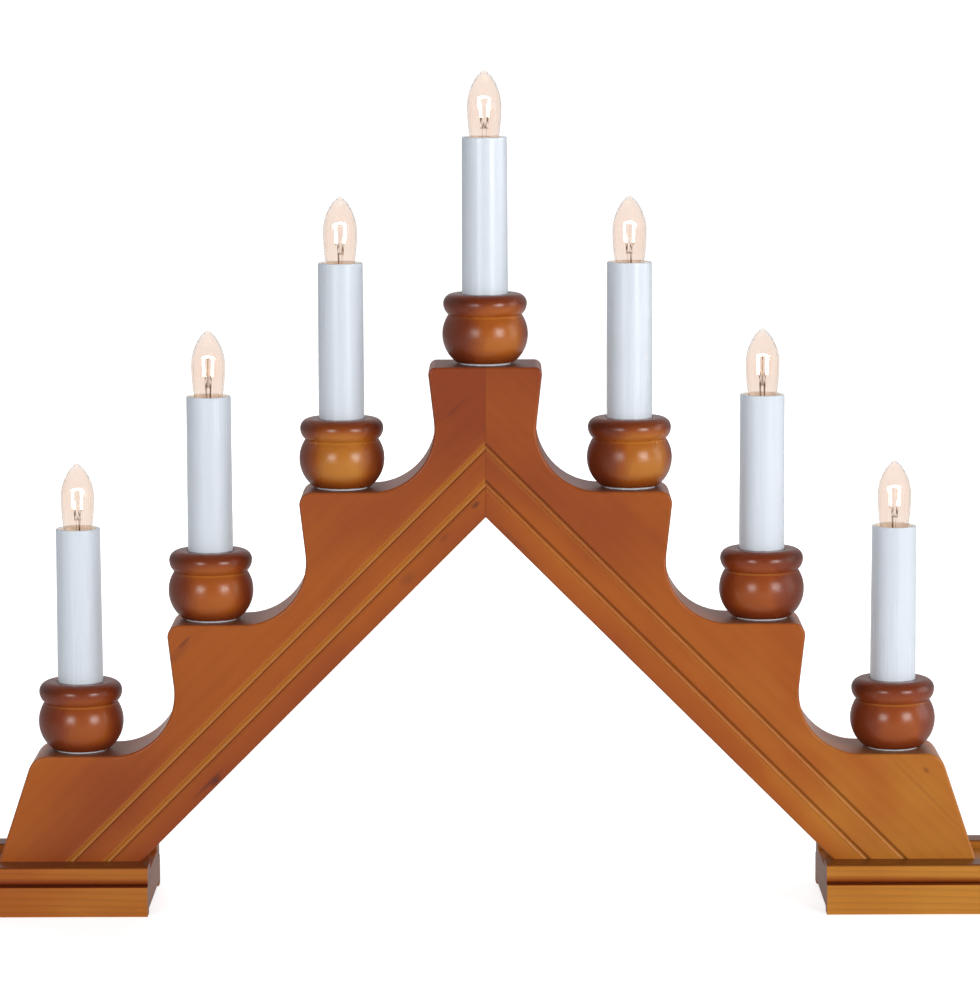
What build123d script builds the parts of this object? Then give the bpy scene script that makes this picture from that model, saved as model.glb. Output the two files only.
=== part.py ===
from build123d import *
import math
import os

# Seven-light wooden candle arch. Millimetres and degrees.
# X runs to the right, Y away from the viewer, Z up; the origin is on the table under the middle.

# Staircase of lights
light_pitch = 54.5  # run and rise from one step to the next
inner_light_x = 59.0  # middle of the arch to the nearest step's candle
low_step_rise = 43.9  # base top to the lowest step
apex_rise = 51.0  # highest step to the top of the arch
steps_per_arm = 3

# Arms
arm_thickness = 34.0
foot_inner_x = 142.4  # at the base's top
foot_outer_x = 201.1
outer_lean = 18.5
outer_nose_radius = 8.0
scoop_radius = 26.0
scoop_lean = 6.5
nose_radius = 5.0
nose_reach = 17.0  # candle axis to the outermost point of its step
apex_half_width = 23.1
apex_nose_radius = 3.0
edge_round = 1.0
groove_radius = 1.1
groove_depth = 0.9
groove_offsets = (9.8, 20.5)  # square to the inner edge

# Bases
base_inner_x = 139.0
base_length = 73.0
base_depth = 62.0
plinth_height = 12.2
base_height = 20.1
bead_setback = 2.4
bead_round = 1.5  # along the bead's top edge
bead_under = 2.6  # along its lower edge
housing_depth = 3.5  # how far the arm is let into the base
housing_clearance = 0.15
runner_width = 7.0
relief_depth = 2.0

# Cups, measured up from the step
cup_top = 28.8
cup_bottom_radius = 12.0
belly_radius = 17.5
belly_height = 12.1
neck_radius = 15.0
neck_height = 20.2
rim_radius = 17.1
rim_height = 24.7
cup_clearance = 0.25

# Candle tubes
tube_height = 92.5
tube_foot_radius = 9.5
tube_rim_radius = 9.15
tube_wall = 1.25
tube_rim_round = 0.5
flange_radius = 10.5
flange_height = 0.8
spigot_radius = 6.0
spigot_length = 8.0
spigot_wall = 1.2
ledge_width = 0.7
tube_floor = 1.5

# Lamp holders, inside the tubes
holder_drop = 3.0  # tube rim to the top of the holder
holder_height = 20.0
holder_floor = 3.0
holder_mouth_radius = 6.5
holder_mouth_depth = 5.0
shell_wall = 0.5
contact_radius = 2.5
contact_height = 0.6
contact_stem_radius = 1.0
contact_stem_drop = 1.5

# Bulbs, which screw down until the solder pip meets the holder's contact
pip_radius = 1.8
pip_height = 1.1
pip_gap = 0.05  # solder pip to the cap that turns above it
rest_gap = 0.2  # solder pip to the holder's contact
cap_radius = 4.75
cap_length = 10.1
cap_wall = 0.3
cap_floor = 0.8
thread_clearance = 0.3
neck_seat = 1.1  # how far the glass stands in the cap
glass_length = 36.0
glass_radius = 6.95
glass_wall = 0.6
glass_neck_radius = 4.3
glass_neck_length = 1.6
shoulder_height = 8.0  # up from the foot of the glass
widest_drop = 14.5  # down from the tip
flank_radius = 80.0
tip_round = 1.6

# Stem and filament, measured up from the foot of the glass
stem_flange_height = 0.8
stem_radius = 1.5
stem_length = 7.0
lead_spread = 0.9
lead_radius = 0.3
filament_foot = 17.0
filament_dip = 19.5
filament_top = 25.5
filament_half_width = 2.7
filament_radius = 0.25

# Wire way, dowels and screws
wire_hole_radius = 4.0
channel_width = 9.0
channel_offset = 16.0  # square to the inner edge
branch_rise = 16.0  # base top to the level stretch below the lowest candle
wire_radius = 1.0
wire_spacing = 4.4
wire_bend = 2.5
dowel_radius = 3.0
dowel_length = 30.0
low_dowel_rise = 8.5  # inner corner of the mitre to the lower dowel
high_dowel_drop = 19.0  # top of the arch to the upper dowel
dowel_y = -8.0
screw_spacing = 30.0
screw_y = -5.0
screw_radius = 2.0
screw_bite = 20.0
screw_head_radius = 4.0
screw_head_height = 2.4
screw_head_sink = 1.0
screw_clearance = 0.3

snug = 0.05  # radial play of glued and pressed fits
overrun = 1.0  # how far cuts run past a face

# Sizes worked out from the ones above
low_step_z = base_height + low_step_rise
foot_z = base_height - housing_depth
inner_apex_z = base_height + foot_inner_x
step_tops = [low_step_z + step * light_pitch for step in range(steps_per_arm)]
step_xs = [inner_light_x + (steps_per_arm - 1 - step) * light_pitch for step in range(steps_per_arm)]
apex_z = step_tops[-1] + apex_rise
back_y = arm_thickness / 2
front_y = -back_y
channel_line = inner_apex_z + channel_offset * math.sqrt(2)  # x + z along the channel
channel_depth = back_y + wire_radius + snug  # the wires lie on its floor, under the candles' axes
branch_z = base_height + branch_rise
ledge_height = tube_height - holder_drop - holder_height
rim_bore_radius = tube_rim_radius - tube_wall
holder_radius = rim_bore_radius - snug
shell_bore_radius = cap_radius + thread_clearance
shell_radius = shell_bore_radius + shell_wall
contact_top = ledge_height + holder_floor + contact_height
seat_height = contact_top + rest_gap
cap_low = seat_height + pip_height + pip_gap
cap_high = cap_low + cap_length
glass_low = cap_high - neck_seat

right_lights = list(zip(step_xs, step_tops))
left_lights = [(-x, z) for x, z in right_lights]
lights = left_lights + [(0, apex_z)] + right_lights[::-1]


def solid_cylinder(radius, start, end):
    """Round bar between two points."""
    axis = Vector(*end) - Vector(*start)
    return Solid.make_cylinder(radius, axis.length, Plane(origin=start, z_dir=axis))


def turned(outline):
    """Solid of revolution about Z from a closed outline in radius and height."""
    return revolve(Plane.XZ * make_face(outline), axis=Axis.Z)


def bulge_radius(rise, reach):
    """Radius of an arc that starts upright and reaches in by a length over a rise."""
    return (rise**2 + reach**2) / (2 * reach)


def arm_outline():
    """Front outline of the right arm: foot, leaning end, scooped steps, top and mitre."""
    lean = math.radians(outer_lean)
    alpha = math.radians(scoop_lean)
    end_top = low_step_z - outer_nose_radius * (1 - math.sin(lean))
    noses = [(x + nose_reach, nose_radius, z) for x, z in right_lights[1:]]
    noses.append((apex_half_width, apex_nose_radius, apex_z))
    with BuildLine() as outline:
        foot = Line((inner_apex_z - foot_z, foot_z), (foot_outer_x + housing_depth * math.tan(lean), foot_z))
        end = Line(foot @ 1, (foot_outer_x - (end_top - base_height) * math.tan(lean), end_top))
        nose = JernArc(end @ 1, end % 1, outer_nose_radius, 90 - outer_lean)
        for (nose_x, radius, top), low in zip(noses, step_tops):
            rise = (top - low - (scoop_radius + radius) * (1 + math.sin(alpha))) / math.cos(alpha)
            swing = (scoop_radius + radius) * math.cos(alpha)
            scoop_x = nose_x - radius - rise * math.sin(alpha) + swing
            flat = Line(nose @ 1, (scoop_x, low))
            scoop = JernArc(flat @ 1, flat % 1, scoop_radius, -(90 + scoop_lean))
            side = Line(scoop @ 1, scoop @ 1 + (scoop % 1) * rise)
            nose = JernArc(side @ 1, side % 1, radius, 90 + scoop_lean)
        Polyline(nose @ 1, (0, apex_z), (0, inner_apex_z), foot @ 0)
    return outline.line


def arm_grooves():
    """Two round-bottomed grooves on the front, parallel to the inner edge, out to the mitre."""
    axis_y = front_y + groove_depth - groove_radius
    cuts = []
    for offset in groove_offsets:
        level = inner_apex_z + offset * math.sqrt(2)
        start = (level - foot_z + overrun, axis_y, foot_z - overrun)
        cuts.append(solid_cylinder(groove_radius, start, (-overrun, axis_y, level + overrun)))
    return cuts


def arm_wire_way():
    """Channel in the back along the arm, its level branch, and a hole up to each candle."""
    bend = (channel_line - branch_z, branch_z)
    far = (-channel_width, channel_line + channel_width)
    stretches = [(far, bend), (bend, (step_xs[0], branch_z))]
    cuts = []
    for start, end in stretches:
        middle = (Vector(*start) + Vector(*end)) / 2
        run = Vector(*end) - Vector(*start)
        turn = math.degrees(math.atan2(run.Y, run.X))
        slot = Pos(middle.X, middle.Y) * SlotCenterToCenter(run.length, channel_width, rotation=turn)
        cuts.append(extrude(Plane.XZ.offset(-back_y - overrun) * slot, channel_depth + overrun))
    floors = [branch_z] + [channel_line - x for x in step_xs[1:]] + [channel_line]
    for (x, top), floor in zip(right_lights + [(0, apex_z)], floors):
        cuts.append(solid_cylinder(wire_hole_radius, (x, 0, floor), (x, 0, top + overrun)))
        seat = spigot_length + snug
        cuts.append(solid_cylinder(spigot_radius + snug, (x, 0, top - seat), (x, 0, top + overrun)))
    return cuts


def dowel_places():
    """Depth and height of the two dowels across the mitre."""
    return [(dowel_y, inner_apex_z + low_dowel_rise), (dowel_y, apex_z - high_dowel_drop)]


def screw_xs():
    """Where the two screws of one base stand along X."""
    middle = (foot_inner_x + foot_outer_x) / 2
    return [middle - screw_spacing / 2, middle + screw_spacing / 2]


def right_arm():
    """Stepped board with eased edges, grooves, wire way, dowel holes and screw holes."""
    board = extrude(Plane.XZ * make_face(arm_outline()), arm_thickness / 2, both=True)
    eased = [
        edge
        for edge in board.edges()
        if abs(edge.center().Y) > back_y - snug
        and edge.bounding_box().max.X > snug
        and edge.bounding_box().max.Z > foot_z + snug
    ]
    board = fillet(eased, edge_round)
    cuts = arm_grooves() + arm_wire_way()
    for y, z in dowel_places():
        depth = dowel_length / 2 + snug
        cuts.append(solid_cylinder(dowel_radius + snug, (-overrun, y, z), (depth, y, z)))
    for x in screw_xs():
        tip = foot_z + screw_bite + snug
        cuts.append(solid_cylinder(screw_radius + snug, (x, screw_y, foot_z - overrun), (x, screw_y, tip)))
    return board - cuts


def base_profile():
    """Section of a base: runners, plinth, a bead rolled under at its foot, and the arm's housing."""
    half = base_depth / 2
    housing = arm_thickness / 2 + housing_clearance
    bead_front = half - bead_setback
    with BuildLine() as profile:
        floor = Polyline(
            (0, relief_depth),
            (half - runner_width, relief_depth),
            (half - runner_width, 0),
            (half, 0),
            (half, plinth_height),
            (bead_front - bead_under, plinth_height),
        )
        under = JernArc(floor @ 1, (1, 0), bead_under, 90)
        face = Line(under @ 1, (bead_front, base_height - bead_round))
        top = JernArc(face @ 1, (0, 1), bead_round, 90)
        Polyline(top @ 1, (housing, base_height), (housing, foot_z), (0, foot_z))
        mirror(about=Plane.YZ)
    return profile.line


def right_base():
    """Moulded block that the right foot stands in, bored for its two screws."""
    block = extrude(Plane.YZ.offset(base_inner_x) * make_face(base_profile()), base_length)
    sink = relief_depth + screw_head_sink + screw_head_height
    cuts = []
    for x in screw_xs():
        hole = screw_radius + screw_clearance
        head = screw_head_radius + screw_clearance
        cuts.append(solid_cylinder(hole, (x, screw_y, 0), (x, screw_y, base_height + overrun)))
        cuts.append(solid_cylinder(head, (x, screw_y, -overrun), (x, screw_y, sink)))
    return block - cuts


def screws():
    """Four wood screws that hold the bases to the arms, heads sunk in the undersides."""
    head_low = relief_depth + screw_head_sink
    head_top = head_low + screw_head_height
    solids = []
    for x in [side * place for side in (-1, 1) for place in screw_xs()]:
        head = solid_cylinder(screw_head_radius, (x, screw_y, head_low), (x, screw_y, head_top))
        tip = (x, screw_y, foot_z + screw_bite)
        solids.append(head + solid_cylinder(screw_radius, (x, screw_y, head_low), tip))
    return solids


def dowels():
    """Two wooden dowels across the mitre."""
    half = dowel_length / 2
    return [solid_cylinder(dowel_radius, (-half, y, z), (half, y, z)) for y, z in dowel_places()]


def cup():
    """Turned cup: round belly, pinched neck and rolled rim, bored through for the tube."""
    bore = tube_foot_radius + cup_clearance
    lower = bulge_radius(belly_height - flange_height, belly_radius - cup_bottom_radius)
    upper = bulge_radius(neck_height - belly_height, belly_radius - neck_radius)
    flare = bulge_radius(rim_height - neck_height, rim_radius - neck_radius)
    with BuildLine() as outline:
        floor = Line((bore, flange_height), (cup_bottom_radius, flange_height))
        belly = RadiusArc(floor @ 1, (belly_radius, belly_height), -lower)
        shoulder = RadiusArc(belly @ 1, (neck_radius, neck_height), -upper)
        lip = RadiusArc(shoulder @ 1, (rim_radius, rim_height), -flare)
        rim = JernArc(lip @ 1, (0, 1), cup_top - rim_height, 90)
        Polyline(rim @ 1, (bore, cup_top), floor @ 0)
    return turned(outline.line)


def tube():
    """Candle tube: foot flange, spigot, tapered wall, a ledge inside and a rounded rim."""
    spigot_bore = spigot_radius - spigot_wall
    well = rim_bore_radius - ledge_width
    with BuildLine() as outline:
        Polyline(
            (spigot_bore, -spigot_length),
            (spigot_radius, -spigot_length),
            (spigot_radius, 0),
            (flange_radius, 0),
            (flange_radius, flange_height),
            (tube_foot_radius, flange_height),
            (tube_rim_radius, tube_height),
            (rim_bore_radius, tube_height),
            (rim_bore_radius, ledge_height),
            (well, ledge_height),
            (well, tube_floor),
            (spigot_bore, tube_floor),
            close=True,
        )
    body = turned(outline.line)
    rim = body.edges().filter_by(GeomType.CIRCLE).filter_by_position(
        Axis.Z, tube_height - snug, tube_height + snug
    )
    return fillet(rim, tube_rim_round)


def holder():
    """Plastic insert that stands on the tube's ledge and carries the screw shell."""
    bore = shell_radius + snug
    mouth = holder_height - holder_mouth_depth
    stem = contact_stem_radius + snug
    with BuildLine() as outline:
        Polyline(
            (stem, 0),
            (holder_radius, 0),
            (holder_radius, holder_height),
            (holder_mouth_radius, holder_height),
            (holder_mouth_radius, mouth),
            (bore, mouth),
            (bore, holder_floor),
            (stem, holder_floor),
            close=True,
        )
    return Pos(0, 0, ledge_height) * turned(outline.line)


def shell():
    """Brass screw shell on the holder's floor."""
    low = ledge_height + holder_floor
    high = ledge_height + holder_height - holder_mouth_depth
    body = solid_cylinder(shell_radius, (0, 0, low), (0, 0, high))
    return body - solid_cylinder(shell_bore_radius, (0, 0, low - overrun), (0, 0, high + overrun))


def contact():
    """Centre contact: a disc on the holder's floor with its stem riveted through."""
    disc = solid_cylinder(contact_radius, (0, 0, contact_top - contact_height), (0, 0, contact_top))
    stem_low = ledge_height - contact_stem_drop
    return disc + solid_cylinder(contact_stem_radius, (0, 0, stem_low), (0, 0, contact_top))


def glass_outline(inset):
    """Half section of the bulb's glass, drawn in by the inset, from its neck to its tip."""
    widest = glass_radius - inset
    crown = tip_round - inset
    span = widest_drop - tip_round
    ogive = (span**2 + glass_radius**2 - tip_round**2) / (2 * (glass_radius - tip_round)) - inset
    tilt = math.atan2(span, ogive - widest)
    widest_height = glass_length - widest_drop
    fall = widest_height - shoulder_height
    shoulder_radius = widest - fall**2 / (2 * flank_radius)
    neck = glass_neck_radius - inset
    meet = (crown * math.cos(tilt), glass_length - tip_round + crown * math.sin(tilt))
    with BuildLine() as outline:
        foot = Line((0, 0), (neck, 0))
        side = Line(foot @ 1, (neck, glass_neck_length))
        cone = Line(side @ 1, (shoulder_radius, shoulder_height))
        flank = RadiusArc(cone @ 1, (widest, widest_height), -flank_radius)
        body = RadiusArc(flank @ 1, meet, -ogive)
        end = RadiusArc(body @ 1, (0, glass_length - inset), -crown)
        Line(end @ 1, foot @ 0)
    return outline.line


def glass():
    """Thin candle-shaped bulb glass, open at its neck."""
    mouth = glass_neck_radius - glass_wall
    opening = solid_cylinder(mouth, (0, 0, -overrun), (0, 0, overrun))
    shape = turned(glass_outline(0)) - [turned(glass_outline(glass_wall)), opening]
    return Pos(0, 0, glass_low) * shape


def cap():
    """Screw cap round the glass neck, plain where the thread is."""
    body = solid_cylinder(cap_radius, (0, 0, cap_low), (0, 0, cap_high))
    hollow = cap_radius - cap_wall
    return body - solid_cylinder(hollow, (0, 0, cap_low + cap_floor), (0, 0, cap_high + overrun))


def pip():
    """Solder contact under the cap."""
    return solid_cylinder(pip_radius, (0, 0, seat_height), (0, 0, seat_height + pip_height))


def strand(radius, start, end):
    """Thin square rod between two points, run on by its radius so that strands join."""
    axis = (Vector(*end) - Vector(*start)).normalized()
    low = Vector(*start) - axis * radius
    length = (Vector(*end) - low).length + radius
    return extrude(Plane(origin=low, z_dir=axis) * RegularPolygon(radius, 4), length)


def filament():
    """Glass stem with its flange, two lead wires and the filament strung between them."""
    flange = glass_neck_radius - glass_wall - snug
    body = solid_cylinder(stem_radius, (0, 0, 0), (0, 0, stem_length))
    body += solid_cylinder(flange, (0, 0, 0), (0, 0, stem_flange_height))
    ends = [(side * lead_spread, 0, filament_foot) for side in (-1, 1)]
    for x, y, z in ends:
        body += strand(lead_radius, (x, y, stem_length - stem_radius), (x, y, z))
    tops = [(side * filament_half_width, 0, filament_top) for side in (-1, 1)]
    points = [ends[0], tops[0], (0, 0, filament_dip), tops[1], ends[1]]
    for start, end in zip(points, points[1:]):
        body += strand(filament_radius, start, end)
    return Pos(0, 0, glass_low) * body


def wire(points):
    """Insulated wire along a bent route in the arm's middle plane."""
    path = FilletPolyline(*[(x, 0, z) for x, z in points], radius=wire_bend)
    section = Plane(origin=path @ 0, z_dir=path % 0) * Circle(wire_radius)
    return sweep(section, path)


def right_wires():
    """Three link wires of the right arm, from holder to holder through the channel."""
    side = wire_spacing / 2
    places = right_lights + [(0, apex_z)]
    solids = []
    for (low_x, low_top), (high_x, high_top) in zip(places, places[1:]):
        down = low_x - side
        up = high_x + side
        start = (down, low_top + ledge_height)
        if low_x == step_xs[0]:
            corner = [(down, branch_z), (channel_line - branch_z, branch_z)]
        else:
            corner = [(down, channel_line - down)]
        route = [start] + corner + [(up, channel_line - up), (up, high_top + ledge_height)]
        solids.append(wire(route))
    return solids


def mirrored(solids):
    """The same pieces on the left side."""
    return [mirror(solid, about=Plane.YZ) for solid in solids]


def write(name, pieces):
    """Saves one node, which may be a group of separate solids."""
    solids = [solid for piece in pieces for solid in piece.solids()]
    export_step(solids[0] if len(solids) == 1 else Compound(children=solids), f"parts/{name}.step")


def main():
    """Builds every piece and saves it."""
    os.makedirs("parts", exist_ok=True)
    arm = right_arm()
    base = right_base()
    wires = right_wires()
    write("right_arm", [arm])
    write("left_arm", mirrored([arm]))
    write("right_base", [base])
    write("left_base", mirrored([base]))
    write("right_wiring", wires)
    write("left_wiring", mirrored(wires))
    write("base_screws", screws())
    write("mitre_dowels", dowels())
    pieces = {
        "cup": cup(),
        "candle_tube": tube(),
        "lamp_holder": holder(),
        "bulb_glass": glass(),
        "bulb_cap": cap(),
        "bulb_filament": filament(),
        "bulb_contact": pip(),
    }
    places = [Location((x, 0, z)) for x, z in lights]
    for name, piece in pieces.items():
        for number, place in enumerate(places, 1):
            write(f"{name}_{number}", [piece.moved(place)])
    write("holder_shells", [shell().moved(place) for place in places])
    write("holder_contacts", [contact().moved(place) for place in places])


main()
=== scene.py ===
import math

import bmesh
import bpy
from bpy.props import FloatProperty, FloatVectorProperty, IntProperty, PointerProperty
from bpy.types import Operator, Panel, PropertyGroup
from mathutils import Euler, Matrix, Vector


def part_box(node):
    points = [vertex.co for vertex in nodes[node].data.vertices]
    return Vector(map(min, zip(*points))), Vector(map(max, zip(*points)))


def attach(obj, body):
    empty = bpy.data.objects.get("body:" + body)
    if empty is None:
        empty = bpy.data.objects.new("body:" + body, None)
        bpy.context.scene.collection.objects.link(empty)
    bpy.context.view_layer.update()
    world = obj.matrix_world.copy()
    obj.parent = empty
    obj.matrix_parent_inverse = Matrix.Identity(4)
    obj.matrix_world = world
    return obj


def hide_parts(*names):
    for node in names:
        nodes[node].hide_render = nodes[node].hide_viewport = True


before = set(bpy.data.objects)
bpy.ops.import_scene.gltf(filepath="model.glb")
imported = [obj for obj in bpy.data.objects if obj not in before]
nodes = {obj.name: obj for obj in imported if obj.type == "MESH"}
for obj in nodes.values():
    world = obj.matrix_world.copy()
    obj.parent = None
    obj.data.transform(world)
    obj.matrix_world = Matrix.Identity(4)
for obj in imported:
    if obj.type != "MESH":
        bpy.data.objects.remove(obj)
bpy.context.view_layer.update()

bl_info = {
    "name": "Candle Arch Finish",
    "version": (1, 0, 0),
    "blender": (4, 5, 0),
    "location": "View3D > Sidebar > Candle Arch",
    "description": "Stained wood, candle tubes, lit bulbs and a photo stage for a stepped candle arch",
    "category": "Object",
}

# Metres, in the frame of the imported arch: X to the right, Y to the back, Z up.
mm = 0.001
light_numbers = sorted(int(name.split("_")[1]) for name in nodes if name.startswith("cup_"))


def axis_of(node):
    """Middle of a node's box in X and Y, at its foot."""
    low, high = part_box(node)
    return Vector(((low.x + high.x) / 2, (low.y + high.y) / 2, low.z))


# Wood of the arms
inner_edge = min(abs(v.co.x) + v.co.z for v in nodes["left_arm"].data.vertices)
arm_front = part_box("left_arm")[0].y
arm_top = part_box("left_arm")[1].z
middle_height_share = 0.55
middle_height = middle_height_share * arm_top
arm_turn = math.radians(45)
arm_pith = (58 * mm, 95 * mm)
arm_ring = 3.4 * mm
inner_band = 9 * mm
glue_line = 0.3 * mm
glue_core_share = 0.2
# How golden the stain is at the foot, halfway up and at the top
left_gold_shares = (0.2, 0.48, -0.08)
right_gold_shares = (0.78, 0.52, -0.08)

# Grooves: distances from the arm's inner edge, then how far back their stain, painted highlight and
# painted shadow line are full and end
groove_offsets = (9.8 * mm, 20.5 * mm)
groove_half_width = 1.1 * mm
groove_floor = 3 * mm
groove_fade = 6 * mm
# Where the wiped stain with its painted highlight and the painted shadow line beside it begin, are full,
# fade and end, in half widths
wiped_highlight_edge_shares = (-1.2, -0.3, 0.6, 2.2)
shadow_line_edge_shares = (-1.8, -1.1, -0.9, -0.2)
# How golden the wiped stain with its painted highlight is, and how dark the painted shadow line
left_groove_shares = (0.52, 0.28)
right_groove_shares = (0.2, 0.45)

# Knots: where they are in X and Z on the front, half length, half width and strength
knot_depth = 6 * mm
left_knots = (
    ((-114.0 * mm, 52.9 * mm), 10.5 * mm, 1.0 * mm, 0.6),
    ((-111.4 * mm, 53.8 * mm), 3.8 * mm, 1.6 * mm, 0.8),
    ((-123.5 * mm, 111.5 * mm), 5.0 * mm, 0.9 * mm, 0.5),
    ((-126.5 * mm, 106.5 * mm), 8.0 * mm, 2.4 * mm, 0.22),
    ((-4.0 * mm, 167.8 * mm), 2.4 * mm, 1.2 * mm, 0.65),
    ((-32.2 * mm, 137.8 * mm), 5.0 * mm, 2.8 * mm, 0.3),
    ((-17.3 * mm, 154.0 * mm), 3.6 * mm, 1.6 * mm, 0.3),
    ((-12.3 * mm, 207.0 * mm), 6.0 * mm, 1.0 * mm, 0.4),
)
right_knots = (
    ((180.3 * mm, 57.3 * mm), 2.2 * mm, 1.1 * mm, 0.5),
    ((178.5 * mm, 49.5 * mm), 30.0 * mm, 0.8 * mm, 0.2),
    ((12.0 * mm, 152.5 * mm), 16.0 * mm, 1.3 * mm, 0.3),
)

# Wood of the bases
base_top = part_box("left_base")[1].z
plinth_height = 12.2 * mm
plinth_edge = 0.1 * mm
# Height of the band of pooled stain and painted shade under the bead
bead_under = 4.2 * mm
# Where the painted shade along the top begins and is full, down from the top
crown_drop = 0.8 * mm
full_crown_drop = 0.3 * mm
base_pith = (12 * mm, -46 * mm)
base_ring = 2.3 * mm
base_gold_shares = {"left_base": 0.55, "right_base": 0.86}

# Wood of the cups: the rim's painted shade and the painted highlight line are measured from the neck,
# the rest from the foot
cup_pith = (24 * mm, 15 * mm)
cup_ring = 3.1 * mm
cup_neck = 19.4 * mm
rim_start = 2 * mm
rim_full = 7.5 * mm
foot_full = 0.5 * mm
foot_end = 7 * mm
highlight_line_edges = (-1.0 * mm, -0.6 * mm, -0.4 * mm, -0.1 * mm)
turning_pitch = 0.45 * mm
# How golden each cup is, and where its grain points from X
cup_gold_shares = (0.22, 0.42, 0.74, 0.52, 0.68, 0.16, 0.16)
cup_grain_degrees = (15, 10, 0, 25, 25, -15, 5)

# Relief of the finishes
wood_relief = 0.1 * mm
plastic_relief = 0.1 * mm
dust_relief = 0.05 * mm
drawn_relief = 0.03 * mm

# Noise of the finishes, in features per metre
wander_scale = 45
fibre_scale = 1500
pore_scale = 620
blotch_scale = 34
broad_scale = 9
knot_scale = 260
cloud_scale = 60
drawn_scale = 900
dust_scale = 420
stain_scale = 350
polish_scale = 1400
scuff_scale = 240
haze_scale = 300
streak_scale = 700
heat_scale = 800
skin_scale = 900

# Plain colours, and pairs of colours that are mixed on small parts
black = (0, 0, 0)
white = (1, 1, 1)
zinc_colours = ((0.62, 0.62, 0.6), (0.42, 0.41, 0.38))
brass_colours = ((0.78, 0.58, 0.26), (0.42, 0.28, 0.12))
nickel_colours = ((0.72, 0.62, 0.42), (0.5, 0.4, 0.25))
solder_colours = ((0.6, 0.6, 0.62), (0.38, 0.38, 0.4))
lead_colours = ((0.3, 0.22, 0.17), (0.14, 0.09, 0.06))
holder_colours = ((0.72, 0.71, 0.68), (0.6, 0.58, 0.53))
insulation_colours = ((0.76, 0.75, 0.71), (0.62, 0.58, 0.5))
beech_colours = ((0.55, 0.36, 0.2), (0.36, 0.2, 0.1))
stem_colours = ((0.8, 0.72, 0.64), (0.95, 0.9, 0.84))
insulator_colours = ((0.012, 0.01, 0.012), (0.05, 0.045, 0.05))

# Tubes
tube_bore = 7.9 * mm
bore_edge = 0.6 * mm
# Depth of the painted glow of the bulb's light inside the rim
rim_glow_depth = 12 * mm

# Glass of the bulbs, measured up from its foot
glass_low, glass_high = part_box("bulb_glass_1")
glass_radius = (glass_high.x - glass_low.x) / 2
glass_length = glass_high.z - glass_low.z
glass_wall = 0.6 * mm
neck_radius = 4.3 * mm
neck_length = 1.6 * mm
shoulder_height = 8 * mm
widest_drop = 14.5 * mm
flank_radius = 80 * mm
tip_round = 1.6 * mm
outer_rings = 34
inner_rings = 24
steps_per_flute = 6

# Caps of the bulbs, measured up from their foot, with the collar and lip down from their top
cap_low, cap_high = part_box("bulb_cap_1")
cap_radius = (cap_high.x - cap_low.x) / 2
cap_length = cap_high.z - cap_low.z
cap_foot = 1.3 * mm
cap_collar = 2.2 * mm
cap_fit = 0.1 * mm
lip_drop = 0.5 * mm
full_lip_drop = 0.3 * mm
lip_inset = 0.05 * mm
thread_pitch = 1.814 * mm
thread_depth = 0.3 * mm
thread_windings = 6
thread_parts = 8
cap_steps = 40
insulator_shoulder = 0.35 * mm
insulator_edge = 0.05 * mm
insulator_radius = 2.4 * mm
insulator_flat = 2.1 * mm

# Stems and filaments, measured up from the foot of the glass
stem_length = 7 * mm
stem_gap = 0.1 * mm
stem_flare = 0.5 * mm
stem_foot = 1.5 * mm
stem_foot_radius = 1.7 * mm
stem_waist_radius = 1.45 * mm
stem_waist_share = 0.7
stem_top_radius = 1.25 * mm
stem_crown_radius = 0.6 * mm
stem_crown_rise = 0.5 * mm
stem_tip_rise = 0.6 * mm
stem_steps = 24
pinch_share = 0.45
lead_radius = 0.17 * mm
lead_sides = 8
lead_sink = 1 * mm
lead_root_share = 0.4
lead_knee_share = 0.55
support_share = 0.6
support_sides = 6
hook_share = 0.15
hook_setback = 0.3 * mm
bead_height = 12.5 * mm
bead_half_length = 1.4 * mm
bead_radius = 0.4 * mm
bead_sides = 12
filament_foot = 17 * mm
filament_top = 24.7 * mm
filament_spread = 1.5 * mm
filament_half_width = 2.1 * mm
filament_peak = 0.5 * mm
coil_radius = 0.36 * mm
coil_wire = 0.1 * mm
coil_pitch = 0.4 * mm
coil_steps = 8
coil_sides = 5

# Screws under the bases
screw_low, screw_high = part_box("base_screws")
screw_length = screw_high.z - screw_low.z
screw_head_radius = (screw_high.y - screw_low.y) / 2
screw_head_height = 2.4 * mm
screw_flat = 2.6 * mm
dome_shoulder_share = 0.85
dome_shoulder_height = 0.315 * mm
dome_height = 1.12 * mm
recess_arm = 1.9 * mm
recess_half_width = 0.45 * mm
recess_depth = 1.3 * mm
recess_floor_share = 0.6
screw_radius = 1.95 * mm
screw_core = 1.4 * mm
screw_pitch = 1.8 * mm
ridge_foot_share = 0.6
ridge_crest_share = 0.8
screw_windings = 16
screw_point = 5 * mm
screw_tip_share = 0.05
screw_steps = 24
screw_spacing = 30 * mm

# Tolerances of the mesh work
merge_distance = 0.002 * mm
cut_distance = 0.001 * mm
level_distance = 0.01 * mm
sharp_angle = math.radians(40)

# Stage: each lamp's place, its width and height, whose power it takes and whether surfaces mirror it
lamp_aim = (0, 0, 0.15)
lamps = {
    "left_softbox": ((-1.05, -2.05, 0.6), (0.75, 0.75), "left_power", True),
    "right_softbox": ((1.4, -1.7, 0.6), (0.85, 0.8), "right_power", True),
    "right_bounce": ((2.2, 0.0, 0.5), (1.5, 1.5), "bounce_power", True),
    "back_softbox": ((-0.2, 1.5, 1.1), (1.6, 0.8), "back_power", False),
}
ambient_tint = (0.93, 0.96, 1.0)
floor_half_size = 60
floor_segments = 4
floor_near = 0.3
floor_far = 1.5
photo_long_side = 981


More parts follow.
